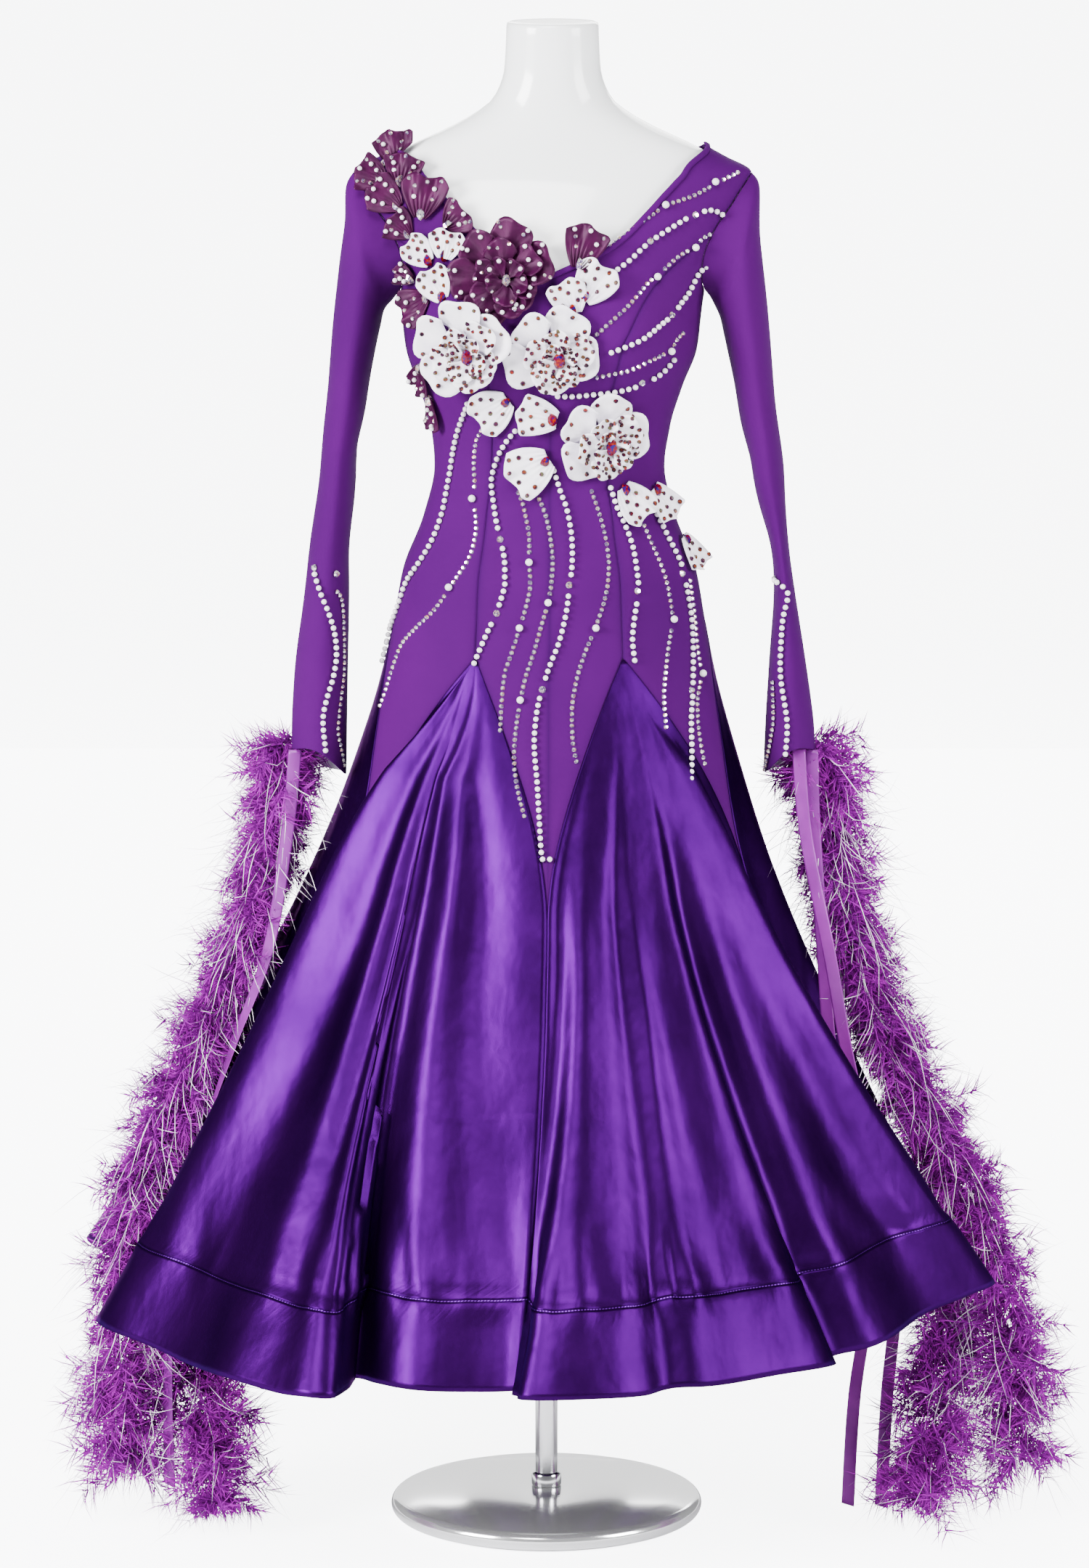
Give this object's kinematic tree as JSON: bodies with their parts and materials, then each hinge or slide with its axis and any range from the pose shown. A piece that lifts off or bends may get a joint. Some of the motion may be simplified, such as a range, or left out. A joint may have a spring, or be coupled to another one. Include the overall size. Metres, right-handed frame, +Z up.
{
  "type": "ballroom gown with sleeves and godet skirt on a limbless dress form with stand",
  "caption": "Long-sleeved ballroom gown with flared godet skirt, flower trims, feather boas and ribbons, on a limbless dress form with pole and round base.",
  "frame": {"origin": "on the floor, at the centre of the stand's base under the pole", "axes": "+Z up along the pole; the gown's front faces -Y; its wearer's left sleeve is on +X"},
  "size_m": [1.0076, 0.9136, 1.536],
  "materials": {
    "jersey": "matte stretch jersey",
    "satin": "high gloss satin",
    "plum_satin": "satin",
    "white_satin": "satin",
    "ribbon": "satin ribbon",
    "feather": "feather",
    "form_gloss": "gloss white",
    "chrome": "polished"
  },
  "bodies": {
    "root": {"form_torso": "form_gloss", "stand_base": "chrome", "stand_pole": "chrome", "panel_front": "jersey", "panel_back": "jersey", "panel_side_front_r": "jersey", "panel_side_front_l": "jersey", "panel_side_back_r": "jersey", "panel_side_back_l": "jersey", "sleeve_r": "jersey", "sleeve_l": "jersey", "neck_binding": "jersey", "godet_front_l": "satin", "godet_front_r": "satin", "godet_side_r": "satin", "godet_back_r": "satin", "godet_back_l": "satin", "godet_side_l": "satin", "petal_plum_1": "plum_satin", "petal_plum_2": "plum_satin", "petal_plum_3": "plum_satin", "petal_plum_4": "plum_satin", "petal_plum_5": "plum_satin", "petal_plum_6": "plum_satin", "petal_plum_7": "plum_satin", "petal_plum_8": "plum_satin", "petal_plum_9": "plum_satin", "petal_plum_10": "plum_satin", "petal_plum_11": "plum_satin", "petal_plum_12": "plum_satin", "petal_white_1": "white_satin", "petal_white_2": "white_satin", "petal_white_3": "white_satin", "petal_white_4": "white_satin", "petal_white_5": "white_satin", "petal_white_6": "white_satin", "petal_white_7": "white_satin", "petal_white_8": "white_satin", "petal_white_9": "white_satin", "petal_white_10": "white_satin", "petal_white_11": "white_satin", "flower_plum": "plum_satin", "flower_white_1": "white_satin", "flower_white_2": "white_satin", "flower_white_3": "white_satin", "ribbon_r1": "ribbon", "ribbon_r2": "ribbon", "ribbon_l1": "ribbon", "boa_l1": "feather", "boa_l2": "feather", "boa_r1": "feather", "boa_r2": "feather"}
  },
  "joints": []
}
